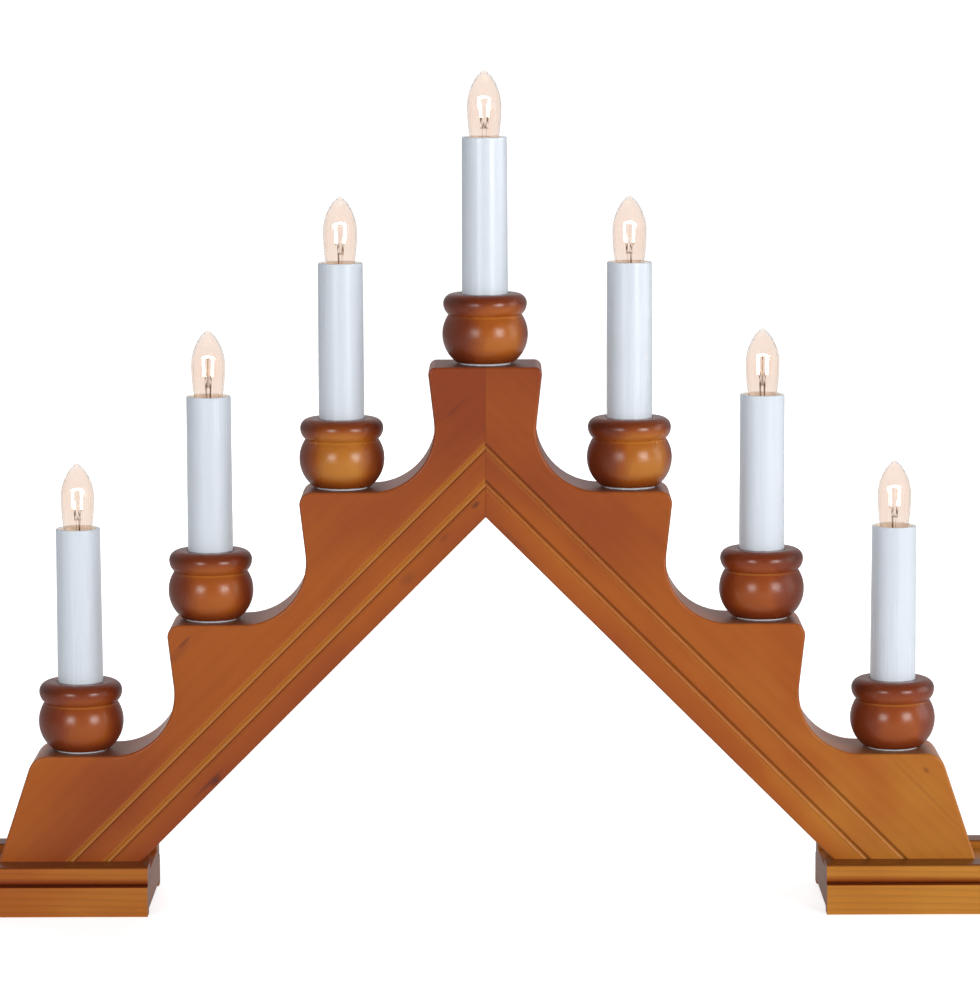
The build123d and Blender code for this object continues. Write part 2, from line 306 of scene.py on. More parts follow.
class ArchWood(PropertyGroup):
    """Colours of the stained wood."""

    red: FloatVectorProperty(
        name="Red stain", description="Where the wood drank most stain",
        subtype="COLOR", size=3, default=(0.235, 0.043, 0.011))
    orange: FloatVectorProperty(
        name="Orange stain", description="Stain over plain wood",
        subtype="COLOR", size=3, default=(0.352, 0.086, 0.0105))
    # Also used for painted highlights: in the grooves and in the line under the cup rims
    gold: FloatVectorProperty(
        name="Golden stain", description="Stain that was wiped thin, as in the grooves",
        subtype="COLOR", size=3, default=(0.49, 0.20, 0.026))
    # Also used for painted shade: under the bead and along the top of the bases, on the cup rims and
    # sides, and in the groove shadow lines
    dark: FloatVectorProperty(
        name="Dark stain", description="Stain that gathered in corners and late wood",
        subtype="COLOR", size=3, default=(0.085, 0.014, 0.004))
    knot: FloatVectorProperty(
        name="Knots", description="Heart of the knots",
        subtype="COLOR", size=3, default=(0.075, 0.02, 0.016))
    end_grain: FloatVectorProperty(
        name="End grain", description="Cut ends of the boards",
        subtype="COLOR", size=3, default=(0.19, 0.096, 0.066))
    board_satin: FloatProperty(
        name="Board satin", description="Roughness of the varnish on the arms and bases",
        subtype="FACTOR", min=0, max=1, default=0.24)
    turned_satin: FloatProperty(
        name="Turned satin", description="Roughness of the varnish on the cups",
        subtype="FACTOR", min=0, max=1, default=0.2)


class CandleParts(PropertyGroup):
    """Colours and sizes of the tubes and bulbs."""

    tube: FloatVectorProperty(
        name="Tube", description="Moulded plastic of the candle tubes",
        subtype="COLOR", size=3, default=(0.635, 0.685, 0.745))
    # Painted glow: the warmth of the lit glass is painted as its tint
    glass_glow_tint: FloatVectorProperty(
        name="Glass tint", description="Warm tint that the lit glass takes",
        subtype="COLOR", size=3, default=(0.965, 0.87, 0.805))
    glow: FloatVectorProperty(
        name="Glow", description="Light of the filament",
        subtype="COLOR", size=3, default=(1.0, 0.80, 0.58))
    glow_strength: FloatProperty(
        name="Glow strength", description="Brightness of the lit filament", min=0, default=14)
    # Painted glow: emission on the tube's plastic that stands in for the bulb's light
    rim_glow: FloatProperty(
        name="Rim glow", description="Bulb light on the inside of a tube's rim", min=0, default=0.35)
    flutes: IntProperty(
        name="Flutes", description="Ribs round the glass", min=3, default=46)
    flute_depth: FloatProperty(
        name="Flute depth", description="Depth of the ribs", subtype="DISTANCE", unit="LENGTH",
        min=0, default=0.11 * mm)


class PhotoStage(PropertyGroup):
    """Camera, lamps and floor."""

    camera_place: FloatVectorProperty(
        name="Camera", description="Where the camera stands",
        subtype="TRANSLATION", size=3, default=(0.006, -1.630, 0.3895))
    focal_pixels: FloatProperty(
        name="Focal length", description="Focal length in pixels of the photo", default=4000)
    pitch: FloatProperty(
        name="Pitch", description="How far the camera looks down",
        subtype="ANGLE", default=math.radians(7.62))
    yaw: FloatProperty(
        name="Yaw", description="How far the camera looks to the left",
        subtype="ANGLE", default=math.radians(0.15))
    roll: FloatProperty(
        name="Roll", description="How far the camera leans to the right",
        subtype="ANGLE", default=math.radians(0.23))
    floor: FloatVectorProperty(
        name="Floor", description="Colour of the floor",
        subtype="COLOR", size=3, default=(0.8, 0.8, 0.8))
    left_power: FloatProperty(
        name="Left lamp", description="Power of the left soft box", unit="POWER", default=19.5)
    right_power: FloatProperty(
        name="Right lamp", description="Power of the right soft box", unit="POWER", default=27.0)
    bounce_power: FloatProperty(
        name="Bounce", description="Power of the bounce card on the right", unit="POWER", default=16.0)
    back_power: FloatProperty(
        name="Back lamp", description="Power of the soft box behind", unit="POWER", default=16.0)
    ambient: FloatProperty(
        name="Ambient", description="Even light from all round", min=0, default=0.25)


def opaque(colour):
    """Colour with full alpha."""
    return (*colour, 1)


class Field:
    """One output in a node tree. Sums and products with it add Math nodes."""

    def __init__(self, tree, socket=None):
        self.tree = tree
        self.socket = socket

    def node(self, kind, settings=None, inputs=None, output=0):
        """Adds a node: its settings first, then the values or links of its sockets."""
        made = self.tree.nodes.new(kind)
        for name, value in (settings or {}).items():
            setattr(made, name, value)
        for name, value in (inputs or {}).items():
            if isinstance(value, Field):
                self.tree.links.new(value.socket, made.inputs[name])
            else:
                made.inputs[name].default_value = value
        return Field(self.tree, made.outputs[output])

    def math(self, operation, *others):
        """A Math node on this value and others."""
        return self.node("ShaderNodeMath", {"operation": operation}, dict(enumerate((self, *others))))

    def vector(self, operation, other, output="Vector"):
        """A Vector Math node."""
        return self.node("ShaderNodeVectorMath", {"operation": operation}, {0: self, 1: other}, output)

    def __add__(self, other):
        return self.math("ADD", other)

    __radd__ = __add__

    def __sub__(self, other):
        return self.math("SUBTRACT", other)

    def __rsub__(self, other):
        return self * -1 + other

    def __mul__(self, other):
        return self.math("MULTIPLY", other)

    __rmul__ = __mul__

    def __truediv__(self, other):
        return self.math("DIVIDE", other)

    def __abs__(self):
        return self.math("ABSOLUTE")

    def step(self, low, high):
        """Smooth step from 0 at low to 1 at high."""
        limits = {"Value": self, "From Min": low, "From Max": high}
        return self.node("ShaderNodeMapRange", {"interpolation_type": "SMOOTHSTEP"}, limits)

    def band(self, start, full, fade, end):
        """1 between full and fade, and 0 before start and after end."""
        return self.step(start, full) * self.step(end, fade)

    def mix(self, first, second):
        """Colour that goes from first to second with this value."""
        ends = [end if isinstance(end, Field) else opaque(end) for end in (first, second)]
        return self.node("ShaderNodeMix", {"data_type": "RGBA"}, {0: self, 6: ends[0], 7: ends[1]}, 2)

    def part(self, axis):
        """One axis of a vector."""
        return self.node("ShaderNodeSeparateXYZ", None, {0: self}, axis)

    def length(self):
        """Length of a vector."""
        return self.vector("LENGTH", (0, 0, 0), "Value")

    def noise(self, stretch, scale, detail=2.0):
        """Noise on this place, drawn out by a stretch along each axis."""
        place = self.vector("MULTIPLY", stretch)
        return self.node("ShaderNodeTexNoise", None, {"Vector": place, "Scale": scale, "Detail": detail})


def new_finish(name, constants):
    """A material with its constant sockets set, and the place of each point in the arch."""
    material = bpy.data.materials.new(name)
    material.use_nodes = True
    shader = material.node_tree.nodes["Principled BSDF"]
    for socket, value in constants.items():
        shader.inputs[socket].default_value = value
    place = Field(material.node_tree).node("ShaderNodeTexCoord", None, None, "Object")
    return material, place


def feed(material, fields):
    """Links the fields that vary over a surface to its sockets."""
    shader = material.node_tree.nodes["Principled BSDF"]
    for socket, field in fields.items():
        material.node_tree.links.new(field.socket, shader.inputs[socket])
    return material


def bumped(height, strength, distance):
    """Normal from a height field."""
    sizes = {"Strength": strength, "Distance": distance, "Height": height}
    return height.node("ShaderNodeBump", None, sizes, "Normal")


def paint(node, material):
    """Gives a node of the arch its finish."""
    nodes[node].data.materials.clear()
    nodes[node].data.materials.append(material)


class Board:
    """Fields of one piece of wood: growth rings, fibres, pores, blotches and end grain."""

    def __init__(self, place, turn, centre, pith, ring):
        self.local = place.vector("SUBTRACT", tuple(centre))
        self.grain = place.node("ShaderNodeMapping", None, {"Vector": self.local, "Rotation": turn})
        wander = self.grain.noise((0.12, 1, 1), wander_scale)
        from_pith = self.grain.vector("MULTIPLY", (0, 1, 1)).vector("DISTANCE", (0, *pith), "Value")
        growth = (from_pith / ring + wander * 2).math("FRACT")
        self.rings = growth.band(0.35, 0.9, 0.93, 1.0)
        self.fibres = self.grain.noise((0.03, 1, 1), fibre_scale, 3.0)
        self.pores = self.grain.noise((0.06, 1, 1), pore_scale, 1.0).step(0.66, 0.76)
        self.blotches = self.grain.noise((0.45, 1, 1), blotch_scale)
        self.broad = self.grain.noise((0.6, 1, 1), broad_scale, 1.0)
        normal = place.node("ShaderNodeNewGeometry", None, None, "Normal")
        direction = Euler(turn).to_matrix()[0]
        self.ends = abs(normal.vector("DOT_PRODUCT", direction, "Value")).step(0.35, 0.98)


def wood_colour(board, wood, gold, blotch_share, ring_share, streak_share):
    """Stained wood: red to orange to gold with the blotches, darker late wood and fibres."""
    patches = board.blotches.step(0.3, 0.7) + board.broad.step(0.3, 0.7)
    warmth = (patches - 1) * blotch_share + gold
    low = (warmth * 2).mix(wood.red, wood.orange)
    colour = (warmth * 2 - 1).mix(low, wood.gold)
    streaks = board.pores + board.fibres.step(0.45, 0.8)
    return (board.rings * ring_share + streaks * streak_share).mix(colour, wood.dark)


def add_end_grain(colour, board, wood):
    """Cut ends of a board, with growth rings as dark arcs and open pores."""
    marks = board.rings * 0.5 + board.pores * 0.3
    return (board.ends * 0.85).mix(colour, marks.mix(wood.end_grain, wood.dark))


def finish_wood(material, board, colour, satin, relief=0.0):
    """Varnish with its sheen and relief over a wood colour."""
    height = board.fibres * 0.4 - board.pores * 0.6 - board.rings * 0.35 - relief
    return feed(material, {
        "Base Color": colour,
        "Roughness": board.blotches * 0.1 + board.ends * 0.15 + satin,
        "Normal": bumped(height, 0.18, wood_relief),
    })


def knot_mask(board, centre, half_length, half_width, turn):
    """Dark spindle round a knot, drawn out along the grain."""
    x, z = centre
    along = x * math.cos(turn) + z * math.sin(turn)
    across = z * math.cos(turn) - x * math.sin(turn)
    place = board.grain.vector("SUBTRACT", (along, arm_front, across))
    reach = place.vector("DIVIDE", (half_length, knot_depth, half_width)).length()
    wobble = board.grain.noise((0.5, 1, 1), knot_scale)
    return (reach + wobble * 0.8).step(1.55, 0.55)


def wipe_grooves(colour, across, front, side, groove_shares, wood):
    """Golden stain wiped thin in both grooves, brightened as a painted highlight, with a painted shadow
    line along one side of each.
    """
    gold_share, shadow_line_share = groove_shares
    for offset in groove_offsets:
        aside = (across - offset) * side
        wiped = aside.band(*(share * groove_half_width for share in wiped_highlight_edge_shares))
        line = aside.band(*(share * groove_half_width for share in shadow_line_edge_shares))
        # Wiped stain in the groove, with a painted highlight over it
        colour = (front * wiped * gold_share).mix(colour, wood.gold)
        # Painted shadow line along one side of the groove
        colour = (front * line * shadow_line_share).mix(colour, wood.dark)
    return colour


def arm_wood(name, turn, knots, gold_shares, groove_shares, wood):
    """Board of one arm, with knots, grooves with wiped stain, a painted highlight and a painted shadow
    line, and the glue line of the mitre.
    """
    material, place = new_finish(name, {"Specular IOR Level": 0.22})
    board = Board(place, (0, turn, 0), (0, 0, 0), arm_pith, arm_ring)
    foot_gold, middle_gold, top_gold = gold_shares
    height = place.part("Z")
    across = board.grain.part("Z") - inner_edge * math.cos(turn)
    gold = height.step(0, middle_height) * (middle_gold - foot_gold) + foot_gold
    gold = height.step(middle_height, arm_top) * (top_gold - middle_gold) + gold
    gold = gold - across.step(inner_band, 0) * 0.22
    colour = wood_colour(board, wood, gold, 0.28, 0.06, 0.04)
    colour = add_end_grain(colour, board, wood)
    for centre, half_length, half_width, strength in knots:
        mark = knot_mask(board, centre, half_length, half_width, turn)
        colour = (mark * strength).mix(colour, wood.knot)
    front = (place.part("Y") - arm_front).step(groove_fade, groove_floor)
    colour = wipe_grooves(colour, across, front, math.copysign(1, turn), groove_shares, wood)
    seam = abs(place.part("X")).step(glue_line, glue_core_share * glue_line)
    colour = (seam * 0.35).mix(colour, wood.dark)
    return finish_wood(material, board, colour, wood.board_satin, seam * 0.8)


def base_wood(name, node, gold_share, wood):
    """Moulded base, grain along X, redder and darker under the bead as pooled stain and painted shade,
    and dark along the top as painted shade.
    """
    material, place = new_finish(name, {"Specular IOR Level": 0.25})
    board = Board(place, (0, 0, 0), axis_of(node), base_pith, base_ring)
    height = place.part("Z")
    # Under the bead: redder and darker, partly stain pooled in the undercut, partly painted shade
    under = height.band(
        plinth_height - plinth_edge, plinth_height, plinth_height, plinth_height + bead_under)
    # Painted shade along the top, where the arm's shadow falls
    crown_shade = height.step(base_top - crown_drop, base_top - full_crown_drop)
    colour = wood_colour(board, wood, gold_share - under * 0.7, 0.2, 0.16, 0.08)
    colour = add_end_grain(colour, board, wood)
    # Painted shade under the bead and along the top, over the stain pooled under the bead
    colour = (under * 0.2 + crown_shade * 0.75).mix(colour, wood.dark)
    return finish_wood(material, board, colour, wood.board_satin)


def cup_wood(name, node, gold_share, grain_degrees, wood):
    """Turned cup, grain level, darker on its end grain, which also serves as painted shade on its sides,
    with painted shade on its rim, darker towards its foot, and a painted highlight line under the rim.
    """
    material, place = new_finish(name, {"Specular IOR Level": 0.34})
    board = Board(place, (0, 0, -math.radians(grain_degrees)), axis_of(node), cup_pith, cup_ring)
    height = board.local.part("Z")
    # Painted shade on the rim, whose top gets little light
    rim = height.step(cup_neck + rim_start, cup_neck + rim_full)
    foot = height.step(foot_end, foot_full)
    # Toward the end grain, which lies on the sides, the cup turns redder and darker: partly end grain
    # that drinks more stain, partly painted shade on the sides
    gold = gold_share - rim * 0.5 - foot * 0.4 - board.ends * 0.75
    colour = wood_colour(board, wood, gold, 0.16, 0.06, 0.04)
    colour = (rim * 0.5 + foot * 0.35 + board.ends * 0.6).mix(colour, wood.dark)
    # Painted highlight: a golden line just under the rim, on the front only
    painted_highlight_line = height.band(*(cup_neck + edge for edge in highlight_line_edges))
    colour = (painted_highlight_line * (1 - board.ends) * 0.4).mix(colour, wood.gold)
    turning = (height * (2 * math.pi / turning_pitch)).math("SINE")
    return finish_wood(material, board, colour, wood.turned_satin, turning * 0.1)


def dowel_wood():
    """Bare beech, grain along X, with short flecks."""
    material, place = new_finish("dowel_wood", {"Specular IOR Level": 0.25})
    board = Board(place, (0, 0, 0), axis_of("mitre_dowels"), base_pith, base_ring)
    flecks = board.fibres.step(0.5, 0.8) * 0.5 + board.rings * 0.3
    return feed(material, {
        "Base Color": flecks.mix(*beech_colours),
        "Roughness": board.fibres * 0.2 + 0.55,
        "Normal": bumped(board.fibres, 0.2, wood_relief),
    })


def tube_plastic(name, node, candle):
    """Glossy moulded plastic, faintly cloudy, with a painted glow of the bulb's light inside its rim."""
    constants = {"Specular IOR Level": 0.5, "Emission Strength": candle.rim_glow}
    material, place = new_finish(name, constants)
    cloud = place.noise((1, 1, 0.25), cloud_scale)
    drawn = place.noise((1, 1, 0.03), drawn_scale)
    pale = [part * 1.02 for part in candle.tube]
    deep = [part * 0.98 for part in candle.tube]
    axis = axis_of(node)
    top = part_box(node)[1].z
    beside = place.vector("SUBTRACT", (axis.x, axis.y, 0)).vector("MULTIPLY", (1, 1, 0))
    inside = beside.length().step(tube_bore + bore_edge, tube_bore)
    # Painted glow of the bulb's light on the inside near the rim
    lit = inside * place.part("Z").step(top - rim_glow_depth, top)
    return feed(material, {
        "Base Color": (cloud * 0.7 + drawn * 0.3).step(0.3, 0.7).mix(deep, pale),
        "Roughness": cloud * 0.08 + drawn * 0.05 + 0.2,
        "Emission Color": lit.mix(black, candle.glow),
        "Normal": bumped(drawn + cloud, 0.02, plastic_relief),
    })


def holder_plastic():
    """Matt white insert with a dusty mouth."""
    material, place = new_finish("holder_plastic", {"Specular IOR Level": 0.4})
    dust = place.noise((1, 1, 1), dust_scale, 3.0)
    return feed(material, {
        "Base Color": dust.step(0.35, 0.75).mix(*holder_colours),
        "Roughness": dust * 0.2 + 0.42,
        "Normal": bumped(dust, 0.1, dust_relief),
    })


def wire_insulation():
    """White insulation, scuffed and a little yellowed."""
    material, place = new_finish("wire_insulation", {"Specular IOR Level": 0.45})
    scuffs = place.noise((1, 1, 1), scuff_scale, 4.0)
    return feed(material, {
        "Base Color": scuffs.step(0.4, 0.75).mix(*insulation_colours),
        "Roughness": scuffs * 0.25 + 0.35,
        "Normal": bumped(scuffs, 0.08, plastic_relief),
    })


def metal(name, colours, roughness):
    """Worn metal: bright where it is rubbed, tarnished in blotches, with fine drawing lines."""
    material, place = new_finish(name, {"Metallic": 1.0})
    stain = place.noise((1, 1, 1), stain_scale, 3.0)
    lines = place.noise((0.2, 0.2, 4.0), polish_scale)
    return feed(material, {
        "Base Color": (stain * 0.8 + lines * 0.2).step(0.35, 0.7).mix(*colours),
        "Roughness": stain * 0.2 + lines * 0.12 + roughness,
        "Normal": bumped(lines, 0.12, drawn_relief),
    })


def bulb_glass(candle):
    """Clear glass, tinted warm as a painted glow of the light inside it, and deeper between its ribs as
    painted shade.
    """
    material, place = new_finish("bulb_glass", {"Transmission Weight": 1.0, "IOR": 1.16})
    haze = place.noise((1, 1, 0.2), haze_scale)
    rib = place.node("ShaderNodeAttribute", {"attribute_name": "rib"}, None, "Fac")
    pale = [part**0.4 for part in candle.glass_glow_tint]
    deep = [part**2.5 for part in candle.glass_glow_tint]
    return feed(material, {
        # Deeper tint in the grooves between the ribs, as painted shade
        "Base Color": (rib * 0.75 + haze * 0.3).mix(pale, deep),
        "Roughness": haze * 0.03,
    })


def stem_glass():
    """Drawn glass of the stem, slightly cloudy."""
    material, place = new_finish("stem_glass", {"Transmission Weight": 0.9, "IOR": 1.5})
    streaks = place.noise((1, 1, 0.15), streak_scale)
    return feed(material, {
        "Base Color": streaks.mix(*stem_colours),
        "Roughness": streaks * 0.1 + 0.05,
    })


def lit_filament(candle):
    """White-hot tungsten, a little hotter in places."""
    constants = {"Emission Strength": candle.glow_strength, "Metallic": 1.0, "Roughness": 0.4}
    material, place = new_finish("lit_filament", constants)
    heat = place.noise((1, 1, 1), heat_scale, 1.0)
    warm = [part * 0.85 for part in candle.glow]
    return feed(material, {"Emission Color": heat.mix(warm, candle.glow)})


def cap_insulator():
    """Black glass under the cap, with a dull skin."""
    material, place = new_finish("cap_insulator", {"Specular IOR Level": 0.5})
    skin = place.noise((1, 1, 1), skin_scale)
    return feed(material, {
        "Base Color": skin.mix(*insulator_colours),
        "Roughness": skin * 0.3 + 0.2,
    })


def wind(bm, steps, turns=1, pitch=0, merge=False):
    """Sweeps a line round Z, rising by a pitch each turn."""
    bmesh.ops.spin(
        bm, geom=bm.verts[:] + bm.edges[:], cent=(0, 0, 0), axis=(0, 0, 1), dvec=(0, 0, pitch / steps),
        angle=2 * math.pi * turns, steps=steps * turns, use_merge=merge)


def wind_outline(points, steps, turns=1, pitch=0):
    """Turns an outline of radii and heights about Z, closed if it doesn't rise."""
    bm = bmesh.new()
    verts = [bm.verts.new((radius, 0, height)) for radius, height in points]
    for pair in zip(verts, verts[1:]):
        bm.edges.new(pair)
    wind(bm, steps, turns, pitch, merge=pitch == 0)
    bmesh.ops.remove_doubles(bm, verts=bm.verts[:], dist=merge_distance)
    bmesh.ops.recalc_face_normals(bm, faces=bm.faces[:])
    return bm


def trim(bm, height, keep_above):
    """Cuts a mesh off square at a height."""
    geometry = bm.verts[:] + bm.edges[:] + bm.faces[:]
    bmesh.ops.bisect_plane(
        bm, geom=geometry, dist=cut_distance, plane_co=(0, 0, height), plane_no=(0, 0, 1),
        clear_inner=keep_above, clear_outer=not keep_above)


def add_mesh(target, source, material=0):
    """Adds one bmesh to another, with a material number, and frees it."""
    for face in source.faces:
        face.material_index = material
    mesh = bpy.data.meshes.new("joined")
    source.to_mesh(mesh)
    source.free()
    target.from_mesh(mesh)
    bpy.data.meshes.remove(mesh)


def new_piece(name, bm, finishes, body, node):
    """Makes the piece that stands for a node, riding on its body."""
    mesh = bpy.data.meshes.new(name)
    bm.to_mesh(mesh)
    bm.free()
    for material in finishes:
        mesh.materials.append(material)
    mesh.shade_smooth()
    mesh.set_sharp_from_angle(angle=sharp_angle)
    piece = bpy.data.objects.new(name, mesh)
    bpy.context.scene.collection.objects.link(piece)
    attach(piece, body)
    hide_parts(node)


def glass_radius_at(height, inset):
    """Radius of the bulb's glass at a height, drawn in by an inset."""
    widest_height = glass_length - widest_drop
    tip_height = glass_length - tip_round
    span = widest_drop - tip_round
    ogive = (span**2 + glass_radius**2 - tip_round**2) / (2 * (glass_radius - tip_round))
    shoulder = glass_radius - (widest_height - shoulder_height)**2 / (2 * flank_radius)
    if height <= neck_length:
        radius = neck_radius
    elif height <= shoulder_height:
        share = (height - neck_length) / (shoulder_height - neck_length)
        radius = neck_radius + share * (shoulder - neck_radius)
    elif height <= widest_height:
        radius = glass_radius - (widest_height - height)**2 / (2 * flank_radius)
    else:
        radius = math.sqrt(ogive**2 - (height - widest_height)**2) - (ogive - glass_radius)
    if height > tip_height:
        dome = math.sqrt(max(0, tip_round**2 - (height - tip_height)**2))
        radius = min(radius, dome)
    return max(0, radius - inset)


def glass_outline(rings, inset):
    """Half outline of the glass from its foot to its tip, with points closer together at the tip."""
    top = glass_length - inset
    heights = [top * math.sin(math.pi / 2 * ring / rings) for ring in range(rings)]
    return [(glass_radius_at(height, inset), height) for height in heights] + [(0, top)]


def fluted_glass(candle):
    """Candle bulb with ribs pressed in its outside and a smooth inside."""
    outer = glass_outline(outer_rings, 0)
    inner = glass_outline(inner_rings, glass_wall)
    bm = wind_outline(inner[::-1] + outer, candle.flutes * steps_per_flute)
    rib = bm.verts.layers.float.new("rib")
    for vert in bm.verts:
        radius = math.hypot(vert.co.x, vert.co.y)
        is_outside = radius > glass_radius_at(vert.co.z, glass_wall / 2)
        if is_outside and vert.co.z > neck_length and radius > tip_round:
            rise = (vert.co.z - neck_length) / (glass_length - neck_length)
            wave = 0.5 - 0.5 * math.cos(candle.flutes * math.atan2(vert.co.y, vert.co.x))
            fade = math.sin(math.pi * rise)**0.7 * min(1, radius / tip_round - 1)
            scale = 1 - candle.flute_depth * fade * wave / radius
            vert[rib] = fade * wave
            vert.co.x *= scale
            vert.co.y *= scale
    return bm


def threaded_cap():
    """Screw cap with a rolled thread, a plain collar and a black insulator under it."""
    collar = cap_length - cap_collar
    root = cap_radius - thread_depth
    rolled = []
    for part in range(thread_parts + 1):
        share = part / thread_parts
        dip = thread_depth * (0.5 + 0.5 * math.cos(2 * math.pi * share))
        rolled.append((cap_radius - dip, share * thread_pitch))
    thread = wind_outline(rolled, cap_steps, thread_windings, thread_pitch)
    bmesh.ops.translate(thread, verts=thread.verts[:], vec=(0, 0, cap_foot - thread_pitch))
    trim(thread, cap_foot, True)
    trim(thread, collar, False)
    skirt = [
        (root - thread_depth, collar),
        (root, collar),
        (root, cap_length - lip_drop),
        (cap_radius - lip_inset, cap_length - full_lip_drop),
        (cap_radius - lip_inset, cap_length),
        (neck_radius + cap_fit, cap_length),
    ]
    insulator = [
        (cap_radius - thread_depth / 2, cap_foot),
        (cap_radius - 2 * thread_depth, insulator_shoulder),
        (insulator_radius, insulator_edge),
        (insulator_flat, 0),
        (0, 0),
    ]
    whole = bmesh.new()
    add_mesh(whole, thread)
    add_mesh(whole, wind_outline(skirt, cap_steps))
    add_mesh(whole, wind_outline(insulator, cap_steps), 1)
    return whole


def aimed(place, run):
    """Matrix that turns Z along a run and moves the origin to a place."""
    return Matrix.Translation(place) @ run.to_track_quat("Z", "Y").to_matrix().to_4x4()


def coil(start, end):
    """Coiled wire between two points."""
    run = end - start
    turns = round(run.length / coil_pitch)
    bm = bmesh.new()
    bmesh.ops.create_circle(bm, segments=coil_sides, radius=coil_wire)
    bm.transform(Matrix.Translation((coil_radius, 0, 0)) @ Matrix.Rotation(math.radians(90), 4, "X"))
    wind(bm, coil_steps, turns, run.length / turns)
    bmesh.ops.holes_fill(bm, edges=[edge for edge in bm.edges if edge.is_boundary], sides=0)
    bmesh.ops.recalc_face_normals(bm, faces=bm.faces[:])
    bm.transform(aimed(start, run))
    return bm


def rod(start, end, radius, sides):
    """Thin straight wire between two points."""
    run = end - start
    bm = bmesh.new()
    bmesh.ops.create_cone(
        bm, cap_ends=True, segments=sides, radius1=radius, radius2=radius, depth=run.length)
    bm.transform(aimed((start + end) / 2, run))
    return bm


def pinched_stem():
    """Glass stem with a flare at its foot, pressed flat towards its top."""
    flare = neck_radius - glass_wall - stem_gap
    stem = wind_outline([
        (0, 0),
        (flare, 0),
        (flare, stem_flare),
        (stem_foot_radius, stem_foot),
        (stem_waist_radius, stem_length * stem_waist_share),
        (stem_top_radius, stem_length),
        (stem_crown_radius, stem_length + stem_crown_rise),
        (0, stem_length + stem_tip_rise),
    ], stem_steps)
    for vert in stem.verts:
        rise = (vert.co.z - stem_foot) / (stem_length - stem_foot)
        vert.co.y *= 1 - pinch_share * min(1, max(0, rise))
    return stem


def filament_mount():
    """Glass stem, lead and support wires, and the coiled filament strung over them."""
    glass, wire, hot = range(3)
    whole = bmesh.new()
    add_mesh(whole, pinched_stem(), glass)
    ends = [Vector((side * filament_spread, 0, filament_foot)) for side in (-1, 1)]
    tops = [Vector((side * filament_half_width, 0, filament_top)) for side in (-1, 1)]
    peak = Vector((0, 0, filament_top + filament_peak))
    for end in ends:
        root = Vector((end.x * lead_root_share, 0, stem_length - lead_sink))
        knee = Vector((end.x * lead_knee_share, 0, bead_height))
        add_mesh(whole, rod(root, knee, lead_radius, lead_sides), wire)
        add_mesh(whole, rod(knee, end, lead_radius, lead_sides), wire)
    bead_ends = [Vector((side * bead_half_length, 0, bead_height)) for side in (-1, 1)]
    add_mesh(whole, rod(*bead_ends, bead_radius, bead_sides), glass)
    for top in (*tops, peak):
        hook = Vector((top.x * hook_share, hook_setback, bead_height))
        add_mesh(whole, rod(hook, top, lead_radius * support_share, support_sides), wire)
    route = [ends[0], tops[0], peak, tops[1], ends[1]]
    for start, end in zip(route, route[1:]):
        add_mesh(whole, coil(start, end), hot)
    return whole


def cross_outline(arm, half_width):
    """Points round a plain cross, with a point halfway along each edge."""
    corners = []
    for quarter in range(4):
        turn = Matrix.Rotation(quarter * math.pi / 2, 2)
        for x, y in ((arm, -half_width), (arm, half_width), (half_width, half_width)):
            corners.append(turn @ Vector((x, y)))
    points = []
    for first, second in zip(corners, corners[1:] + corners[:1]):
        points += [first, (first + second) / 2]
    return points


def screw_head():
    """Domed head of a screw, facing down, with a cross recess."""
    bm = wind_outline([
        (screw_flat, 0),
        (screw_head_radius * dome_shoulder_share, dome_shoulder_height),
        (screw_head_radius, dome_height),
        (screw_head_radius, screw_head_height),
        (screw_core, screw_head_height),
    ], screw_steps)
    ring = [edge for edge in bm.edges if edge.is_boundary and abs(edge.verts[0].co.z) < level_distance]
    cross = [bm.verts.new((*point, 0)) for point in cross_outline(recess_arm, recess_half_width)]
    slots = [bm.edges.new(pair) for pair in zip(cross, cross[1:] + cross[:1])]
    bmesh.ops.bridge_loops(bm, edges=ring + slots)
    walls = bmesh.ops.extrude_edge_only(bm, edges=slots)["geom"]
    sunk = [item for item in walls if isinstance(item, bmesh.types.BMVert)]
    bmesh.ops.translate(bm, verts=sunk, vec=(0, 0, recess_depth))
    bmesh.ops.scale(bm, verts=sunk, vec=(recess_floor_share, recess_floor_share, 1))
    floor = [item for item in walls if isinstance(item, bmesh.types.BMEdge) and item.is_boundary]
    bmesh.ops.holes_fill(bm, edges=floor, sides=0)
    bmesh.ops.recalc_face_normals(bm, faces=bm.faces[:])
    return bm


def screw_shank():
    """Threaded shank of a screw, pointing up, that tapers at its tip."""
    ridge = [
        (screw_core, 0),
        (screw_core, screw_pitch * ridge_foot_share),
        (screw_radius, screw_pitch * ridge_crest_share),
        (screw_core, screw_pitch),
    ]
    bm = wind_outline(ridge, screw_steps, screw_windings, screw_pitch)
    bmesh.ops.translate(bm, verts=bm.verts[:], vec=(0, 0, screw_head_height - screw_pitch))
    trim(bm, screw_head_height, True)
    trim(bm, screw_length, False)
    for vert in bm.verts:
        taper = min(1, (screw_length - vert.co.z) / screw_point + screw_tip_share)
        vert.co.x *= taper
        vert.co.y *= taper
    return bm


class ARCH_OT_finish_arms(Operator):
    """Stain and varnish the two arms"""

    bl_idname = "candle_arch.finish_arms"
    bl_label = "Finish Arms"

    def execute(self, context):
        wood = context.scene.arch_wood
        arms = (
            ("left_arm", arm_turn, left_knots, left_gold_shares, left_groove_shares),
            ("right_arm", -arm_turn, right_knots, right_gold_shares, right_groove_shares),
        )
        for node, turn, knots, gold_shares, groove_shares in arms:
            paint(node, arm_wood(f"{node}_wood", turn, knots, gold_shares, groove_shares, wood))
        paint("mitre_dowels", dowel_wood())
        return {"FINISHED"}


